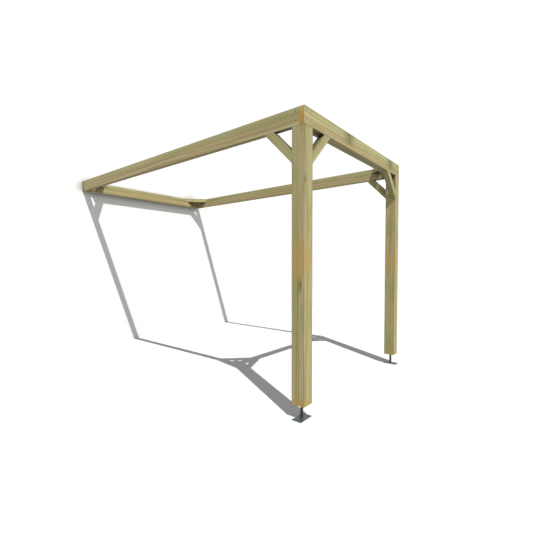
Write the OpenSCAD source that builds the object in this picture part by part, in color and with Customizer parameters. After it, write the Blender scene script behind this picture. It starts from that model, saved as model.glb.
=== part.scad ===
// Lean-to pergola: two posts on steel feet carry a front beam, and two side
// beams run back to a wall plate that is fixed to a building. A ledger along
// the foot of the front beam and of the wall plate carries flat corner braces.
// Origin: centre of the wall plate's back face, where it meets the wall.
// +X runs along the wall, the front faces -Y, +Z is up.

/* [Overall] */
// Width along the wall, over the outer faces of the posts
frame_width = 2125; // [1700:5:2700]
// Depth from the wall to the front face
frame_depth = 3980; // [3200:5:4900]
// Height from the ground to the top of the beams
frame_height = 2500; // [2050:5:3100]

/* [Timber] */
// Side of the square posts
post_size = 120; // [98:1:146]
// Depth of every beam board
beam_depth = 145; // [120:1:176]
// Thickness of every beam board
board_thickness = 45; // [36:1:55]

/* [Braces] */
// Width of a brace's flat face
brace_width = 72; // [58:1:88]
// Thickness of a brace
brace_thickness = 58; // [48:1:70]
// Reach of a knee brace along the post and along the beam
knee_reach = 284; // [230:2:350]
// Gap between a post's inner corner and the flat brace across it
corner_gap = 23; // [18:1:60]

/* [Feet] */
// Gap between the ground and the bottom of a post
foot_height = 122; // [95:1:150]
// Long side of a foot plate
foot_plate_length = 160; // [130:1:200]
// Short side of a foot plate
foot_plate_width = 90; // [75:1:110]
// Thickness of a foot plate
foot_plate_thickness = 6; // [4:0.5:10]
// Diameter of the foot's round rod
foot_rod_diameter = 25; // [20:0.5:30]
// Length of the rod inside the post
foot_rod_embed = 110; // [80:5:160]
// Diameter of a bolt hole in a foot plate
bolt_hole_diameter = 11; // [8:0.5:14]
// Distance from a bolt hole's centre to each edge of the plate
bolt_hole_inset = 15; // [12:0.5:18]
// Leg of the weld between rod and plate
weld_leg = 5; // [3:0.5:7]

/* [Fits] */
// Gap all round the rod in its bore
rod_clearance = 0.2; // [0.1:0.1:0.5]

/* [Hidden] */
$fn = 48;

// Levels
beam_top = beam_depth / 2;
beam_underside = beam_top - beam_depth;
ledger_top = beam_top - brace_thickness;
ground = beam_top - frame_height;
foot_plate_top = ground + foot_plate_thickness;
post_bottom = ground + foot_height;

// Left side and front, as the outer and inner faces of what stands there
left_face = -frame_width / 2;
left_post_inner = left_face + post_size;
left_beam_inner = left_face + board_thickness;
front_face = -frame_depth;
front_board_back = front_face + board_thickness;
front_post_back = front_face + post_size;
wall_board_front = -board_thickness;
wall_ledger_front = wall_board_front - board_thickness;

// Centre line of the left post and its foot
foot_x = left_face + post_size / 2;
foot_y = front_face + post_size / 2;

// The ledgers stop where the posts' inner faces are
ledger_size = [frame_width - 2 * post_size, board_thickness, ledger_top - beam_underside];
side_beam_length = frame_depth - 2 * board_thickness;

// Square-cut width of a brace, measured along the timber that it meets
brace_cut = brace_width * sqrt(2);

// Reach of a flat corner brace along the two boards that it meets
corner_reach = 2 * (post_size - board_thickness) + brace_cut + corner_gap * sqrt(2);

timber = "#BCAE80";
zinc = "#7C8384";

// Puts the left-hand piece on the right-hand side as well
module right_hand() {
    mirror([1, 0, 0]) children();
}

// A board or post given by its lowest corner and its size
module timber_bar(corner, size) {
    color(timber) translate(corner) cube(size);
}

// Outline of a 45-degree brace in the corner between two faces
module brace_outline(reach) {
    polygon([[reach, 0], [0, reach], [0, reach - brace_cut], [reach - brace_cut, 0]]);
}

// Post with its top cut back to a tongue, which the boards lap on two sides
module left_post() {
    color(timber) difference() {
        translate([left_face, front_face, post_bottom])
            cube([post_size, post_size, beam_top - post_bottom]);
        // Seat for the front beam
        translate([left_face - 1, front_face - 1, beam_underside])
            cube([post_size + 2, board_thickness + 1, beam_depth + 1]);
        // Seat for the side beam
        translate([left_face - 1, front_face - 1, beam_underside])
            cube([board_thickness + 1, post_size + 2, beam_depth + 1]);
        // Bore for the foot's rod
        translate([foot_x, foot_y, post_bottom - 1])
            cylinder(d = foot_rod_diameter + 2 * rod_clearance, h = foot_rod_embed + 1);
    }
}

// Outer front board, over the full width and over the ends of the side beams
module front_beam() {
    timber_bar([left_face, front_face, beam_underside],
               [frame_width, board_thickness, beam_depth]);
}

// Ledger along the foot of the front beam, between the tongues of the posts
module front_ledger() {
    timber_bar([left_post_inner, front_board_back, beam_underside], ledger_size);
}

// Side board from the front beam to the wall plate
module left_side_beam() {
    timber_bar([left_face, front_board_back, beam_underside],
               [board_thickness, side_beam_length, beam_depth]);
}

// Board against the wall, over the full width
module wall_plate() {
    timber_bar([left_face, wall_board_front, beam_underside],
               [frame_width, board_thickness, beam_depth]);
}

// Ledger along the foot of the wall plate
module wall_ledger() {
    timber_bar([left_post_inner, wall_ledger_front, beam_underside], ledger_size);
}

// Knee brace between the post and the front beam, flush with the front
module left_front_brace() {
    color(timber) translate([left_post_inner, front_face, beam_underside])
        rotate([-90, 0, 0])
        linear_extrude(brace_thickness) brace_outline(knee_reach);
}

// Knee brace between the post and the side beam, flush with the side
module left_side_brace() {
    color(timber) translate([left_face, front_post_back, beam_underside])
        rotate([0, 90, 0])
        linear_extrude(brace_thickness) brace_outline(knee_reach);
}

// Brace laid flat on the front ledger, in the corner between the side beam and
// the front beam and level with their tops
module left_front_corner_brace() {
    color(timber) translate([left_beam_inner, front_board_back, ledger_top])
        linear_extrude(brace_thickness) brace_outline(corner_reach);
}

// The same brace on the wall ledger, in the corner at the wall plate
module left_wall_corner_brace() {
    color(timber) translate([left_beam_inner, wall_board_front, beam_top])
        rotate([180, 0, 0])
        linear_extrude(brace_thickness) brace_outline(corner_reach);
}

// Round rod from the plate up into the post, whose weight rests on its end
module left_foot_rod() {
    color(zinc) translate([foot_x, foot_y, foot_plate_top])
        cylinder(d = foot_rod_diameter, h = post_bottom + foot_rod_embed - foot_plate_top);
}

// Plate with a bolt hole in each corner, its long side along X
module foot_plate() {
    hole_x = foot_plate_length / 2 - bolt_hole_inset;
    hole_y = foot_plate_width / 2 - bolt_hole_inset;
    color(zinc) difference() {
        translate([-foot_plate_length / 2, -foot_plate_width / 2, 0])
            cube([foot_plate_length, foot_plate_width, foot_plate_thickness]);
        for (x = [-hole_x, hole_x], y = [-hole_y, hole_y])
            translate([x, y, -1])
                cylinder(d = bolt_hole_diameter, h = foot_plate_thickness + 2);
    }
}

module left_foot_plate() {
    translate([foot_x, foot_y, ground]) foot_plate();
}

// The right foot is turned a quarter, its long side along Y
module right_foot_plate() {
    translate([-foot_x, foot_y, ground]) rotate([0, 0, 90]) foot_plate();
}

// Fillet weld round the foot of the rod
module left_foot_weld() {
    rod_radius = foot_rod_diameter / 2;
    color(zinc) translate([foot_x, foot_y, foot_plate_top])
        rotate_extrude()
        polygon([[rod_radius, 0], [rod_radius + weld_leg, 0], [rod_radius, weld_leg]]);
}

left_post();
right_hand() left_post();  // right_post
front_beam();
front_ledger();
left_side_beam();
right_hand() left_side_beam();  // right_side_beam
wall_plate();
wall_ledger();
left_front_brace();
right_hand() left_front_brace();  // right_front_brace
left_side_brace();
right_hand() left_side_brace();  // right_side_brace
left_front_corner_brace();
right_hand() left_front_corner_brace();  // right_front_corner_brace
left_wall_corner_brace();
right_hand() left_wall_corner_brace();  // right_wall_corner_brace
left_foot_rod();
right_hand() left_foot_rod();  // right_foot_rod
left_foot_plate();
right_foot_plate();
left_foot_weld();
right_hand() left_foot_weld();  // right_foot_weld
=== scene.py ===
"""Lean-to pergola of pressure-treated softwood on galvanised steel feet."""
import math
from functools import partial

import bmesh
import bpy
from mathutils import Matrix, Vector


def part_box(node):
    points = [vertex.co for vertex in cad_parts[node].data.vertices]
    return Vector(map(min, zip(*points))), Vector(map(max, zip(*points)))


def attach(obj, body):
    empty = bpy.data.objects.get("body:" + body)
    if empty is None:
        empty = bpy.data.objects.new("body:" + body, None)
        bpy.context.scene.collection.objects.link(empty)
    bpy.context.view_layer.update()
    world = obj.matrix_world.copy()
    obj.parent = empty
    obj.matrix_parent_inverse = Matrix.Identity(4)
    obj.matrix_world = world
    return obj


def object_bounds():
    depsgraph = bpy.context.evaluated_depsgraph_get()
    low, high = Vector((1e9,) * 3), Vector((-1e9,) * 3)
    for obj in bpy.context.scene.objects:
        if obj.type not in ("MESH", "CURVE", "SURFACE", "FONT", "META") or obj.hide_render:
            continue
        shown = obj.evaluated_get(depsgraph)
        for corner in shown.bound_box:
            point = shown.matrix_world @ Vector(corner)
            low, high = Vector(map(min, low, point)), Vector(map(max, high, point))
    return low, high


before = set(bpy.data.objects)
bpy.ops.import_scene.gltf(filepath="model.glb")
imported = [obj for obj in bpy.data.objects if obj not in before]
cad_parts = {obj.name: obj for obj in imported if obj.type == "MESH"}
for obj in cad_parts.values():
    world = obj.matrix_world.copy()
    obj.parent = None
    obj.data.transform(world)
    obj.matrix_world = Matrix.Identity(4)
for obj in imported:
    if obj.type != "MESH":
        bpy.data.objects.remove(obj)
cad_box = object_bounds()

MM = 0.001
BODY = "root"
X, Y, Z = Vector((1, 0, 0)), Vector((0, 1, 0)), Vector((0, 0, 1))


# ---------------------------------------------------------------- colours and nodes

def linear(hex_colour):
    """An sRGB hex colour, such as "#C0B080", as the linear RGBA that a shader takes."""
    srgb = [int(hex_colour[i:i + 2], 16) / 255 for i in (1, 3, 5)]
    rgb = [c / 12.92 if c <= 0.04045 else ((c + 0.055) / 1.055) ** 2.4 for c in srgb]
    return (*rgb, 1.0)


MODE_OF = {"Math": "operation", "VectorMath": "operation", "Mapping": "vector_type",
           "MapRange": "interpolation_type", "Mix": "data_type",
           "TexNoise": "noise_dimensions", "TexVoronoi": "voronoi_dimensions"}


def add(tree, kind, *feeds, stops=(), **settings):
    """Adds a shader node, such as "Emission" or "Math MULTIPLY". Feeds go to its sockets
    in order, and settings name its properties or sockets. A feed is a hex colour, a
    value, a socket, or a node, which gives its first output. stops are a ramp's."""
    kind, _, mode = kind.partition(" ")
    node = tree.nodes.new("ShaderNode" + kind)
    if mode:
        setattr(node, MODE_OF[kind], mode)
    used = [socket for socket in node.inputs if socket.enabled]
    pairs = list(zip(used, feeds))
    for name, value in settings.items():
        if name in node.inputs:
            pairs.append((node.inputs[name], value))
        else:
            setattr(node, name, value)
    for socket, value in pairs:
        if isinstance(value, bpy.types.Node):
            value = next(s for s in value.outputs if s.enabled)
        if isinstance(value, bpy.types.NodeSocket):
            tree.links.new(value, socket)
        else:
            socket.default_value = linear(value) if isinstance(value, str) else value
    for i, (place, colour) in enumerate(stops):
        ramp = node.color_ramp.elements
        element = ramp[i] if i < len(ramp) else ramp.new(place)
        element.position = place
        element.color = linear(colour)
    return node


def new_material(name):
    """An empty material, and the function that adds a node to it."""
    material = bpy.data.materials.new(name)
    material.use_nodes = True
    material.node_tree.nodes.clear()
    return material, partial(add, material.node_tree)


# ---------------------------------------------------------------- timber

RING = 3.8 * MM          # one year's growth
RING_RUN = 19 * MM       # good and poor years come in runs
RIPPLE = 9 * MM          # how far the rings stray from round
RIPPLES = (1.6, 14, 14)  # and how often in a metre, along and across the grain
FIBRE = 0.9 * MM         # real fibres are finer, and are drawn as coarse as they show
FIBRE_RUN = 25 * FIBRE   # a run is a pattern's length along the grain
STREAK = 34 * MM         # width of a stain or resin streak
STREAK_RUN = 40 * STREAK
BLOTCH = 90 * MM         # patches where the treatment took unevenly
BLOTCH_RUN = 300 * MM
PIN_KNOTS = 0.34         # metres from one pin knot to the next
PIN_SIZES = (0.3 * MM, 7 * MM)     # half widths of the least and the greatest pin knot
KNOT_DEPTH = 60 * MM     # distance from the pith where a branch has its full width
TWIG = 0.05 * MM         # half width of a branch where it starts
HEART_STRAY = 10 * MM    # how far a streak moves the edge of the heartwood
HEART_FADE = (22 * MM, -4 * MM)    # past its edge, where heartwood starts and is full
HEART_LINE = 7 * MM      # half width of the darker line along that edge
END_SOAK = 110 * MM      # how far amber treatment was drawn in from a cut end
SOAK_FADE = (1.3 * END_SOAK, 0.4 * END_SOAK)
MIDDLE_SOAK = (0.40, 0.24)     # metres from the middle where that amber starts and is full
ARRIS = 3 * MM           # radius of the planed edges
ARRIS_FADE = (8 * MM, 1 * MM)      # from an arris, where its dark line starts and is full
NOOK = 240 * MM          # reach of the painted shade that is given to the nooks
GRAIN_RELIEF = 0.5 * MM
SEED_STEP = (17.0, 31.0, 47.0)     # metres from one piece's patterns to the next one's

SAPWOOD = ((0.32, "#A39E69"), (0.42, "#AEA773"), (0.50, "#B8AF7D"), (0.58, "#C1B988"),
           (0.68, "#CAC396"))
HEARTWOOD = ((0.34, "#A39065"), (0.43, "#B09E70"), (0.51, "#BBAB7C"), (0.59, "#C3B587"),
             (0.68, "#CBC096"))
END_GRAIN = ((0.36, "#BE984C"), (0.50, "#CAAA60"), (0.64, "#CEB87A"))
END_DULL = "#7D704A"
LATE_RING = "#857648"
FIBRE_SHADE = "#77714B"
COPPER_GREEN = "#929A5C"
AMBER = "#C9A45C"
PEACH = "#C8A782"
KNOT_HEART = "#7A6A3E"
KNOT_BARK = "#4C3C22"
KNOT_STAIN = "#6F6E3C"
ARRIS_STAIN = "#6C6D4A"
NOOK_SHADE = "#3E3620"


def from_the_pith(node, local, along, given):
    """Where a point lies from the pith, which wanders sideways over the piece's length."""
    run = node("Math MULTIPLY_ADD", along, 0.55, node("Math MULTIPLY", given["Seed"], 7.3))
    bend = node("TexNoise 1D", run, 1.0, 2.0).outputs["Color"]
    bend = node("VectorMath SUBTRACT", bend, (0.5, 0.5, 0.5))
    bend = node("VectorMath SCALE", bend, given["Wander"])
    from_pith = node("VectorMath ADD", node("VectorMath SUBTRACT", local, given["Pith"]), bend)
    return node("VectorMath MULTIPLY", from_pith, (0, 1, 1))


def reach_of_branch(node, from_pith, along, branch, width):
    """How far a point lies from a branch, in units of the branch's half width: as it is,
    and drawn out along the grain. The half width follows. branch holds its place along
    the grain and its bearing, as it leaves the pith."""
    start = node("SeparateXYZ", branch).outputs[0]
    offset = node("CombineXYZ", node("Math SUBTRACT", along, start))
    bearing = node("VectorMath MULTIPLY", branch, (0, 1, 1))
    point = node("VectorMath ADD", from_pith, offset)
    forward = node("VectorMath DOT_PRODUCT", point, bearing).outputs["Value"]
    beside = node("VectorMath SUBTRACT", point, node("VectorMath SCALE", bearing, forward))
    grown = node("MapRange LINEAR", forward, 0.0, KNOT_DEPTH, 0.02, 1.0)
    half = node("Math MAXIMUM", node("Math MULTIPLY", grown, width), TWIG)
    gap = node("VectorMath LENGTH", beside)
    drawn_out = node("VectorMath LENGTH", node("VectorMath MULTIPLY", beside, (0.3, 1, 1)))
    return node("Math DIVIDE", gap, half), node("Math DIVIDE", drawn_out, half), half


def knots_and_swirl(node, from_pith, along, given):
    """Pin knots, spread like spokes round the pith, and two larger branches. Gives how
    near the nearest knot is, how far it swells the rings, and the stain round it."""
    across = node("SeparateXYZ", from_pith)
    angle = node("Math ARCTAN2", across.outputs[2], across.outputs[1])
    spoke = node("Math MULTIPLY_ADD", angle, KNOT_DEPTH / PIN_KNOTS, given["Seed"])
    place = node("CombineXYZ", node("Math DIVIDE", along, PIN_KNOTS), spoke, 0.0)
    pins = node("TexVoronoi 2D", place, Scale=1.0)
    chance = node("SeparateColor", pins.outputs["Color"]).outputs[0]
    half = node("MapRange SMOOTHSTEP", chance, 0.45, 1.0, *PIN_SIZES)
    gap = node("Math MULTIPLY", pins.outputs["Distance"], PIN_KNOTS)
    nearest = node("Math DIVIDE", gap, half)
    swirl = node("Math MULTIPLY", node("MapRange SMOOTHSTEP", nearest, 3.4, 0.6), half)
    stain = 0.0
    for name in ("Knot A", "Knot B"):
        reach, stain_reach, half = reach_of_branch(node, from_pith, along, given[name],
                                                   given[name + " Width"])
        nearest = node("Math MINIMUM", nearest, reach)
        lift = node("Math MULTIPLY", node("MapRange SMOOTHSTEP", reach, 3.6, 0.6), half)
        swirl = node("Math ADD", swirl, lift)
        stain = node("Math MAXIMUM", stain, node("MapRange SMOOTHSTEP", stain_reach, 3.4, 0.5))
    return nearest, swirl, stain


def growth_rings(node, seeded, radius, swirl, given):
    """Growth rings, which swell round the knots. Gives the radius along a bent ring, how
    dark its year's wood is there, and how good a run of years it grew in."""
    ripple = node("TexNoise", node("VectorMath MULTIPLY", seeded, RIPPLES), Scale=1.0,
                  Detail=3.0)
    bent = node("Math MULTIPLY_ADD", ripple, RIPPLE, node("Math ADD", radius, swirl))
    year = node("Math FRACT", node("Math DIVIDE", bent, RING))
    ring = node("Math MULTIPLY", node("MapRange SMOOTHSTEP", year, 0.35, 0.9),
                node("MapRange SMOOTHSTEP", year, 1.0, 0.94))
    years = node("Math MULTIPLY_ADD", bent, 1 / RING_RUN, given["Seed"])
    return bent, ring, node("TexNoise 1D", years, 1.0, 3.0, 0.6)


def sap_and_heart(node, tone, streak, patch, ring_radius, given):
    """Green-tinted sapwood round tan heartwood, and the line between them."""
    sap = node("ValToRGB", tone, stops=SAPWOOD)
    heart = node("ValToRGB", tone, stops=HEARTWOOD)
    peach = node("MapRange SMOOTHSTEP", patch, 0.50, 0.68, 0.0, 0.32)
    heart = node("Mix RGBA", peach, heart, PEACH)
    edge = node("Math MULTIPLY_ADD", streak, HEART_STRAY, ring_radius)
    edge = node("Math SUBTRACT", edge, given["Heart"])
    wood = node("Mix RGBA", node("MapRange SMOOTHSTEP", edge, *HEART_FADE), sap, heart)
    line = node("Math ABSOLUTE", node("Math SUBTRACT", edge, HEART_STRAY))
    line = node("MapRange SMOOTHSTEP", line, HEART_LINE, 0.0, 0.0, 0.42)
    return node("Mix RGBA", line, wood, LATE_RING)


def treatment(node, wood, blotch, patch, to_end, along, given):
    """Copper green in blotches, and amber where more of it was drawn in."""
    green = node("Math MULTIPLY", node("MapRange SMOOTHSTEP", blotch, 0.50, 0.68), given["Green"])
    wood = node("Mix RGBA", green, wood, COPPER_GREEN)
    soak = node("Math MULTIPLY_ADD", patch, END_SOAK, to_end)
    soak = node("MapRange SMOOTHSTEP", soak, *SOAK_FADE)
    middle = node("Math MULTIPLY_ADD", patch, 0.4, node("Math ABSOLUTE", along))
    middle = node("MapRange SMOOTHSTEP", middle, *MIDDLE_SOAK, 0.0, 0.8)
    amber = node("Math MULTIPLY", node("Math MAXIMUM", soak, middle), given["Amber"])
    return node("Mix RGBA", amber, wood, AMBER)


def softwood_group():
    """Planed pine, pressure treated: growth rings about a wandering pith, green-tinted
    sapwood round tan heartwood, knots that run out from the pith, stained streaks
    along the grain, a darker line on each arris, painted shade in the nooks and golden end grain."""
    tree = bpy.data.node_groups.new("treated softwood", "ShaderNodeTree")
    kinds = {"Centre": "Vector", "Turn": "Vector", "Half Size": "Vector", "Along": "Vector",
             "Pith": "Vector", "Heart": "Float", "Wander": "Float", "Green": "Float",
             "Amber": "Float", "End Gold": "Float", "Seed": "Float",
             "Knot A": "Vector", "Knot A Width": "Float",
             "Knot B": "Vector", "Knot B Width": "Float"}
    results = {"Colour": "Color", "Roughness": "Float", "Height": "Float"}
    for name, kind in kinds.items():
        tree.interface.new_socket(name, in_out="INPUT", socket_type="NodeSocket" + kind)
    for name, kind in results.items():
        tree.interface.new_socket(name, in_out="OUTPUT", socket_type="NodeSocket" + kind)
    given = tree.nodes.new("NodeGroupInput").outputs
    result = tree.nodes.new("NodeGroupOutput").inputs
    node = partial(add, tree)

    # Place in the piece: x along the grain, y across its wide face, z out of that face
    coordinates = node("TexCoord")
    local = node("Mapping TEXTURE", coordinates.outputs["Object"], given["Centre"], given["Turn"])
    along = node("SeparateXYZ", local).outputs[0]
    seeded = node("VectorMath ADD", local, node("VectorMath SCALE", SEED_STEP, given["Seed"]))
    to_faces = node("SeparateXYZ", node("VectorMath SUBTRACT", given["Half Size"],
                                        node("VectorMath ABSOLUTE", local)))

    # How the tree grew
    from_pith = from_the_pith(node, local, along, given)
    radius = node("VectorMath LENGTH", from_pith)
    knot_reach, swirl, stain = knots_and_swirl(node, from_pith, along, given)
    knot = node("MapRange SMOOTHSTEP", knot_reach, 1.0, 0.8)
    bark = node("Math MULTIPLY", node("MapRange SMOOTHSTEP", knot_reach, 1.3, 1.0),
                node("MapRange SMOOTHSTEP", knot_reach, 0.78, 1.0))
    ring_radius, ring, years = growth_rings(node, seeded, radius, swirl, given)

    # Streaks, blotches and fibres
    size = (1 / STREAK_RUN, 1 / STREAK, 1 / STREAK)
    streak = node("TexNoise", node("VectorMath MULTIPLY", seeded, size), Scale=1.0, Detail=5.0,
                  Roughness=0.55)
    size = (1 / BLOTCH_RUN, 1 / BLOTCH, 1 / BLOTCH)
    blotch = node("TexNoise", node("VectorMath MULTIPLY", seeded, size), Scale=1.0, Detail=4.0)
    size = (1 / FIBRE_RUN, 1 / FIBRE, 1 / FIBRE)
    fibre = node("TexNoise", node("VectorMath MULTIPLY", seeded, size), Scale=1.0, Detail=2.0)
    patch = node("SeparateColor", blotch.outputs["Color"]).outputs[2]

    # The tones of the wood, then what the treatment and the knots stained
    tone = node("Math MULTIPLY_ADD", streak, 0.6, node("Math MULTIPLY", years, 0.4))
    wood = sap_and_heart(node, tone, streak, patch, ring_radius, given)
    wood = treatment(node, wood, blotch, patch, to_faces.outputs[0], along, given)
    wood = node("Mix RGBA", node("Math MULTIPLY", stain, 0.62), wood, KNOT_STAIN)

    # Rings, fibres and knots over the tones
    late = node("MapRange SMOOTHSTEP", years, 0.7, 0.35, 0.04, 0.26)
    wood = node("Mix RGBA", node("Math MULTIPLY", ring, late), wood, LATE_RING)
    wood = node("Mix RGBA", node("MapRange SMOOTHSTEP", fibre, 0.35, 0.75, 0.0, 0.16), wood,
                FIBRE_SHADE)
    wood = node("Mix RGBA", node("Math MULTIPLY", knot, 0.75), wood, KNOT_HEART)
    wood = node("Mix RGBA", node("Math MULTIPLY", bark, 0.6), wood, KNOT_BARK)

    # The arrises, which show as a darker line
    to_arris = node("Math MAXIMUM", to_faces.outputs[1], to_faces.outputs[2])
    arris = node("MapRange SMOOTHSTEP", to_arris, *ARRIS_FADE, 0.0, 0.48)
    wood = node("Mix RGBA", arris, wood, ARRIS_STAIN)

    # Painted shade in the nooks inside the braces, drawn darker than the sun and sky leave them
    nook = node("AmbientOcclusion", Distance=NOOK, samples=8).outputs["AO"]
    nook = node("MapRange SMOOTHSTEP", nook, 0.80, 0.46, 0.0, 0.85)
    wood = node("Mix RGBA", nook, wood, NOOK_SHADE)

    # End grain drinks more of the treatment and shows the rings as arcs
    facing = node("VectorMath DOT_PRODUCT", coordinates.outputs["Normal"], given["Along"])
    end = node("MapRange SMOOTHSTEP", node("Math ABSOLUTE", facing.outputs["Value"]), 0.75, 0.92)
    cut = node("Mix RGBA", given["End Gold"], END_DULL,
               node("ValToRGB", blotch, stops=END_GRAIN))
    cut = node("Mix RGBA", node("Math MULTIPLY", ring, 0.4), cut, LATE_RING)
    wood = node("Mix RGBA", end, wood, cut)

    rough = node("Math MULTIPLY_ADD", fibre, 0.12, 0.62)
    rough = node("Math MULTIPLY_ADD", knot, -0.15, rough)
    rough = node("Math MULTIPLY_ADD", end, 0.12, rough)
    height = node("Math MULTIPLY_ADD", ring, 0.35, node("Math MULTIPLY", fibre, 0.5))
    height = node("Math MULTIPLY_ADD", bark, -0.8, height)
    tree.links.new(wood.outputs[2], result["Colour"])
    tree.links.new(rough.outputs[0], result["Roughness"])
    tree.links.new(height.outputs[0], result["Height"])
    return tree


SOFTWOOD = softwood_group()


def softwood(piece, along, face, pith, heart, wander=40, green=0.5, amber=0.0, gold=1.0,
             knots=((0, 0, 0), (0, 0, 0))):
    """The timber of one piece. along is its grain and face the normal of its wide face.
    pith is where the tree's centre lay, across and out of that face, and heart the
    radius of the heartwood, in mm. A knot is its place in metres from the middle, its
    bearing in degrees from across towards out, and its half width in mm. wander is how
    far the pith strays, in mm. green, amber and gold are the strengths of three stains,
    the last on the end grain. The seed gives each piece patterns of its own."""
    out = face.normalized()
    length = along.normalized()
    turn = Matrix((length, out.cross(length), out)).transposed()
    corners = [turn.transposed() @ v.co for v in piece.data.vertices]
    low = Vector([min(c[i] for c in corners) for i in range(3)])
    high = Vector([max(c[i] for c in corners) for i in range(3)])
    material, node = new_material(piece.name + " treated softwood")
    group = node("Group", node_tree=SOFTWOOD)
    values = {"Centre": turn @ ((low + high) / 2), "Turn": turn.to_euler(),
              "Half Size": (high - low) / 2, "Along": length, "Heart": heart * MM,
              "Pith": (0, pith[0] * MM, pith[1] * MM), "Wander": wander * MM,
              "Green": green, "Amber": amber, "End Gold": gold, "Seed": len(bpy.data.materials)}
    for name, (place, bearing, width) in zip(("Knot A", "Knot B"), knots):
        bearing = math.radians(bearing)
        values[name] = (place, math.cos(bearing), math.sin(bearing))
        values[name + " Width"] = width * MM
    for socket, value in values.items():
        group.inputs[socket].default_value = value
    bump = node("Bump", Strength=0.7, Distance=GRAIN_RELIEF, Height=group.outputs["Height"])
    shader = node("BsdfPrincipled", **{
        "Base Color": group.outputs["Colour"], "Roughness": group.outputs["Roughness"],
        "IOR": 1.5, "Specular IOR Level": 0.3, "Normal": bump})
    node("OutputMaterial", shader)
    return material


# Each piece: its grain, its wide face, then how it was cut from the tree and stained
TIMBERS = {
    "left_post": (Z, -Y, dict(pith=(50, 30), heart=38, amber=0.7,
                              knots=((-0.21, -20, 24), (0.62, 95, 9)))),
    "right_post": (Z, -Y, dict(pith=(48, 34), heart=36, amber=0.6,
                               knots=((0.30, 170, 9), (-0.55, 250, 8)))),
    "front_beam": (X, -Y, dict(pith=(-88, -12), heart=86, wander=16,
                               knots=((-0.30, 13, 15), (0.76, 12, 14)))),
    "front_ledger": (X, Y, dict(pith=(10, -60), heart=46)),
    "left_side_beam": (Y, -X, dict(pith=(84, -28), heart=104, wander=50, green=0.2)),
    "right_side_beam": (Y, X, dict(pith=(-80, -34), heart=96, wander=50, green=0.25,
                                   knots=((0.2, 60, 6), (1.3, 250, 6)))),
    "wall_plate": (X, -Y, dict(pith=(-88, 6), heart=60, wander=14, green=0.7, gold=0.1)),
    "wall_ledger": (X, -Y, dict(pith=(-40, 8), heart=90, wander=14,
                                knots=((0.5, 80, 6), (-0.4, 95, 5)))),
    "left_front_brace": (X + Z, -Y, dict(pith=(46, -40), heart=78)),
    "right_front_brace": (Z - X, -Y, dict(pith=(-40, -46), heart=26)),
    "left_side_brace": (Y + Z, -X, dict(pith=(40, -44), heart=64)),
    "right_side_brace": (Y + Z, X, dict(pith=(38, -40), heart=30)),
    "left_front_corner_brace": (Y - X, -Z, dict(pith=(38, -42), heart=28)),
    "right_front_corner_brace": (X + Y, -Z, dict(pith=(36, -44), heart=28)),
    "left_wall_corner_brace": (X + Y, -Z, dict(pith=(34, -40), heart=26)),
    "right_wall_corner_brace": (Y - X, -Z, dict(pith=(34, -40), heart=26)),
}


SAME_POINT = 0.01 * MM           # points closer than this are one
SHARPEST = math.radians(40)      # edges that turn by more than this are rounded


def ease_edges(piece, radius, segments=3):
    """Rounds the edges of a CAD piece as the planer or the mill leaves them."""
    weld = piece.modifiers.new("weld", "WELD")
    weld.merge_threshold = SAME_POINT
    bevel = piece.modifiers.new("arris", "BEVEL")
    bevel.width = radius
    bevel.segments = segments
    bevel.limit_method = "ANGLE"
    bevel.angle_limit = SHARPEST


def dress(piece, material):
    """Puts a material on a CAD piece, over its smoothed edges."""
    piece.data.materials.clear()
    piece.data.materials.append(material)
    piece.data.polygons.foreach_set("use_smooth", [True] * len(piece.data.polygons))
    piece.modifiers.new("shade", "WEIGHTED_NORMAL")


# ---------------------------------------------------------------- steel

CLOUD = 35 * MM          # soft patches in the zinc
GRIT = 1.2 * MM          # real grit is finer, and is drawn as coarse as it shows
GRIT_RELIEF = 0.2 * MM
STEEL_EDGE = 0.7 * MM    # radius of the cut edges, softened by the zinc


def zinc(name, tones, flake_size):
    """Galvanised steel, weathered dull: grey zinc in faint crystal flakes, with a fine
    grit that blurs what it reflects. tones run from its dark to its light patches."""
    material, node = new_material(name)
    place = node("TexCoord").outputs["Object"]
    flake = node("TexVoronoi", place, Scale=1 / flake_size)
    shade = node("SeparateColor", flake.outputs["Color"]).outputs[0]
    cloud = node("TexNoise", place, 1 / CLOUD, 4.0)
    tone = node("Math MULTIPLY_ADD", cloud, 0.6, node("Math MULTIPLY", shade, 0.4))
    colour = node("ValToRGB", tone, stops=tones)
    rough = node("MapRange", tone, 0.2, 0.8, 0.62, 0.46)
    grit = node("TexNoise", place, 1 / GRIT, 3.0)
    bump = node("Bump", Strength=0.35, Distance=GRIT_RELIEF, Height=grit)
    shader = node("BsdfPrincipled", **{
        "Base Color": colour, "Roughness": rough, "Metallic": 1.0, "Normal": bump})
    node("OutputMaterial", shader)
    return material


PLATE_ZINC = zinc("galvanised steel plate",
                  ((0.25, "#565E5D"), (0.5, "#687070"), (0.8, "#7E8685")), 9 * MM)
# Painted shade: the bar and its weld get darker zinc than the plate, standing in for the post's
# shadow over them
BAR_ZINC_PAINTED_SHADE = zinc("galvanised steel bar in painted shade",
                ((0.25, "#35353B"), (0.5, "#434349"), (0.8, "#565860")), 5 * MM)
SCREW_ZINC = zinc("zinc-plated screw",
                  ((0.25, "#4A4638"), (0.5, "#5F5B4C"), (0.8, "#7A7666")), 3 * MM)


# ---------------------------------------------------------------- screws

HEAD = 5 * MM            # radius of a screw head
NECK = HEAD - 1.2 * MM   # radius where the head's cone is hidden in the timber
DRIVE = 2.1 * MM         # mean radius of its star-shaped socket
LOBES = 6
LOBE_DEPTH = 0.22        # of the mean radius
COUNTERSINK = 5.4 * MM   # radius of the hole that the head bites
SUNK = 0.5 * MM          # how far the head lies below the timber
SIDES = 36
STAR = [DRIVE * (1 + LOBE_DEPTH * math.cos(LOBES * math.tau * i / SIDES)) for i in range(SIDES)]
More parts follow.
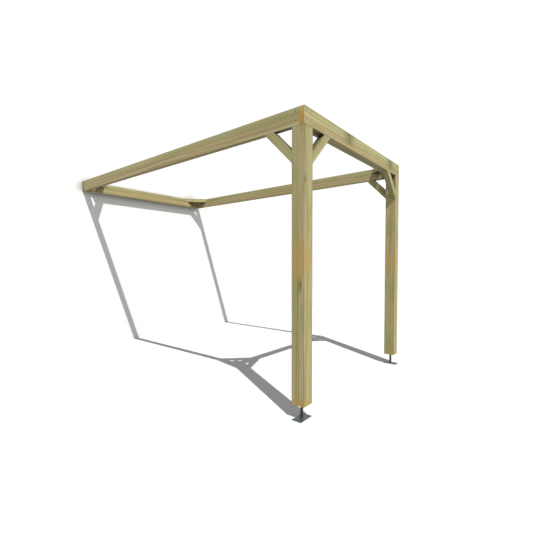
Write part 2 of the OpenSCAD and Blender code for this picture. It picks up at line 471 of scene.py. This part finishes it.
# Rims from the outside in: radius, or radii for the star, and height over the timber
HEAD_RIMS = ((NECK, -SUNK - 1.5 * MM), (HEAD, -SUNK - 0.4 * MM), (HEAD, -SUNK - 0.15 * MM),
             (HEAD - 0.3 * MM, -SUNK), (STAR, -SUNK), (STAR, -SUNK - 1.2 * MM))
HOLE_RIMS = ((COUNTERSINK - 1.6 * MM, -2.6 * MM), (COUNTERSINK, -1.0 * MM),
             (COUNTERSINK, 1.0 * MM))
SCREW_DROPS = (32 * MM, 103 * MM)      # below the top of the beams
SCREW_COLUMNS = (30 * MM, 90 * MM)     # in from the corner


def turned(name, rims, places, out):
    """One mesh of a closed turned shape, given by its rims, at each of the places."""
    mesh = bmesh.new()
    turn = out.to_track_quat("Z", "Y").to_matrix()
    for place in places:
        rings = []
        for radii, level in rims:
            radii = radii if isinstance(radii, list) else [radii] * SIDES
            spins = [math.tau * i / SIDES for i in range(SIDES)]
            points = [(r * math.cos(s), r * math.sin(s), level) for r, s in zip(radii, spins)]
            rings.append([mesh.verts.new(place + turn @ Vector(p)) for p in points])
        for outer, inner in zip(rings, rings[1:]):
            for i in range(SIDES):
                j = (i + 1) % SIDES
                mesh.faces.new((outer[i], outer[j], inner[j], inner[i]))
        mesh.faces.new(reversed(rings[0]))
        mesh.faces.new(rings[-1])
    data = bpy.data.meshes.new(name)
    mesh.to_mesh(data)
    mesh.free()
    piece = bpy.data.objects.new(name, data)
    bpy.context.scene.collection.objects.link(piece)
    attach(piece, BODY)
    return piece


def drive_screws(name, timber, places, out):
    """Countersunk screws in a row of places on one face of a timber."""
    hole = turned(name + "_holes", HOLE_RIMS, places, out)
    hole.hide_render = True
    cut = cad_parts[timber].modifiers.new(name, "BOOLEAN")
    cut.object = hole
    heads = turned(name, HEAD_RIMS, places, out)
    heads.data.materials.append(SCREW_ZINC)


for name in TIMBERS:
    ease_edges(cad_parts[name], ARRIS)

front_low, front_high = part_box("front_beam")
post_low, post_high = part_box("left_post")
post_size = post_high.x - post_low.x
board = front_high.y - front_low.y
tongue = front_low.y + (board + post_size) / 2
for side, outward, end in (("left", -X, front_low.x), ("right", X, front_high.x)):
    fascia = [Vector((end - outward.x * column, front_low.y, front_high.z - drop))
              for column in SCREW_COLUMNS for drop in SCREW_DROPS]
    drive_screws(side + "_fascia_screws", "front_beam", fascia, -Y)
    beside = [Vector((end, tongue, front_high.z - drop)) for drop in SCREW_DROPS]
    drive_screws(side + "_side_beam_screws", side + "_side_beam", beside, outward)

for name, (along, face, growth) in TIMBERS.items():
    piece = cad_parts[name]
    dress(piece, softwood(piece, along, face, **growth))

for side in ("left", "right"):
    for part, material in (("rod", BAR_ZINC_PAINTED_SHADE), ("plate", PLATE_ZINC), ("weld", BAR_ZINC_PAINTED_SHADE)):
        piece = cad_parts[f"{side}_foot_{part}"]
        ease_edges(piece, STEEL_EDGE, 2)
        dress(piece, material)


# ---------------------------------------------------------------- floor and backdrop

REACH = 30.0             # of the floor and the backdrop, out from the pergola
GROUND = cad_box[0][2]
BEAM_SHADE = 0.22        # how far from the beams the backdrop is shaded
SHADE_FADE = (-1.2, -0.4)      # heights where that shade starts and is full
GLOW = 0.02


def sheet(name, corners, material):
    """A flat sheet that isn't part of the pergola."""
    data = bpy.data.meshes.new(name)
    data.from_pydata(corners, [], [(0, 1, 2, 3)])
    data.materials.append(material)
    piece = bpy.data.objects.new(name, data)
    bpy.context.scene.collection.objects.link(piece)
    return piece


def floor_white():
    """Matt white to the camera and in reflections, and a plain grey to the light that
    it passes on, so that the timber's undersides stay in shade."""
    material, node = new_material("floor white")
    path = node("LightPath")
    seen = node("Math MAXIMUM", path.outputs["Is Camera Ray"], path.outputs["Is Glossy Ray"])
    colour = node("Mix RGBA", seen, "#888888", "#F1F1F1")
    node("OutputMaterial", node("BsdfDiffuse", colour))
    return material


def backdrop_white():
    """Matt white, seen from the front only, with soft shade close to the beams."""
    material, node = new_material("backdrop white")
    shade = node("AmbientOcclusion", Distance=BEAM_SHADE, samples=16)
    colour = node("ValToRGB", shade.outputs["AO"], stops=((0.45, "#AEAEAE"), (0.88, "#FFFFFF")))
    height = node("SeparateXYZ", node("TexCoord").outputs["Object"]).outputs[2]
    near_beams = node("MapRange SMOOTHSTEP", height, *SHADE_FADE)
    colour = node("Mix RGBA", near_beams, "#FFFFFF", colour)
    lit = node("AddShader", node("BsdfDiffuse", colour), node("Emission", colour, GLOW))
    back = node("NewGeometry").outputs["Backfacing"]
    node("OutputMaterial", node("MixShader", back, lit, node("BsdfTransparent")))
    return material


sheet("floor", [(-REACH, -REACH, GROUND), (REACH, -REACH, GROUND),
                (REACH, REACH, GROUND), (-REACH, REACH, GROUND)], floor_white())
backdrop = sheet("backdrop", [(-REACH, MM, GROUND), (REACH, MM, GROUND),
                              (REACH, MM, GROUND + REACH), (-REACH, MM, GROUND + REACH)],
                 backdrop_white())
# Only the camera sees the backdrop, so it takes nothing from the light on the frame
for ray in ("diffuse", "glossy", "transmission", "shadow"):
    setattr(backdrop, "visible_" + ray, False)


# ---------------------------------------------------------------- light and camera

ZENITH = 0.08            # strength of the soft light from straight above
HORIZON = 0.73           # and from the sides
SUN = 3.72
SUN_WIDTH = math.radians(0.6)
SUN_TRAVEL = Vector((0.329, 0.634, -1.0))
# The eye stands left of the left post and in front of it, at chest height
EYE = Vector((-2.242, -1.507, 1.272))
HEADING = math.radians(51.50)
PITCH = math.radians(2.16)
ROLL = math.radians(-0.047)
LENS = 22.336
SENSOR = 36


def soft_sky():
    """A white sky to the camera and in reflections, and a soft light from its sides."""
    world = bpy.data.worlds.new("studio")
    bpy.context.scene.world = world
    world.use_nodes = True
    world.node_tree.nodes.clear()
    node = partial(add, world.node_tree)
    height = node("SeparateXYZ", node("TexCoord").outputs["Generated"]).outputs[2]
    soft = node("MapRange", height, 0.0, 1.0, HORIZON, ZENITH)
    path = node("LightPath")
    seen = node("Math MAXIMUM", path.outputs["Is Camera Ray"], path.outputs["Is Glossy Ray"])
    node("OutputWorld", node("Background", "#FFFFFF", node("Math MAXIMUM", soft, seen)))


def sunlight():
    """The sun, from the front left."""
    lamp = bpy.data.lights.new("sun", "SUN")
    lamp.energy = SUN
    lamp.angle = SUN_WIDTH
    sun = bpy.data.objects.new("sun", lamp)
    sun.rotation_euler = SUN_TRAVEL.to_track_quat("-Z", "Y").to_euler()
    bpy.context.scene.collection.objects.link(sun)


def aim_camera(foot_corner):
    """A camera at EYE from the ground under the frame's front left corner."""
    data = bpy.data.cameras.new("camera")
    data.sensor_width = SENSOR
    data.lens = LENS
    camera = bpy.data.objects.new("camera", data)
    ahead = Vector((math.sin(HEADING) * math.cos(PITCH), math.cos(HEADING) * math.cos(PITCH),
                    -math.sin(PITCH)))
    turn = ahead.to_track_quat("-Z", "Y").to_matrix() @ Matrix.Rotation(ROLL, 3, "Z")
    camera.matrix_world = Matrix.Translation(foot_corner + EYE) @ turn.to_4x4()
    bpy.context.scene.collection.objects.link(camera)
    bpy.context.scene.camera = camera


soft_sky()
sunlight()
aim_camera(Vector((front_low.x, front_low.y, GROUND)))
bpy.context.scene.view_settings.view_transform = "Standard"
